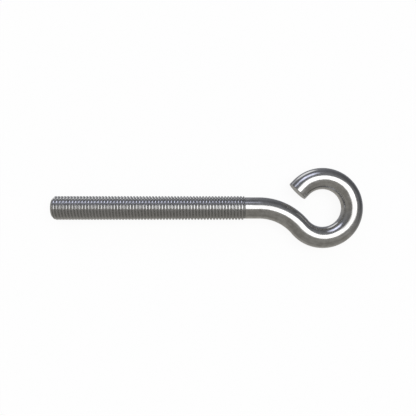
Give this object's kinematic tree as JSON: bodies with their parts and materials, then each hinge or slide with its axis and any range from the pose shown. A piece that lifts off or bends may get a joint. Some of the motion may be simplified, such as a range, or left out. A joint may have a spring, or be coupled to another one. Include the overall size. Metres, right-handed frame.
{
  "type": "eye bolt",
  "caption": "Long eye bolt: a round steel bar threaded along most of its straight shank and bent at the other end, through a short neck, into an open eye.",
  "frame": {"origin": "middle of the eye, on the bar's centre plane", "axes": "+X from the threaded end along the shank to the eye, +Y in the plane of the eye towards its mouth, +Z square to the plane of the eye and up when the bolt lies flat"},
  "size_m": [0.2509, 0.0648, 0.019],
  "materials": {
    "steel": "bare drawn steel with a bright satin surface and a faint grain along the bar"
  },
  "bodies": {
    "root": {"threaded_shank": "steel", "plain_shank": "steel", "neck": "steel", "eye": "steel"}
  },
  "joints": []
}
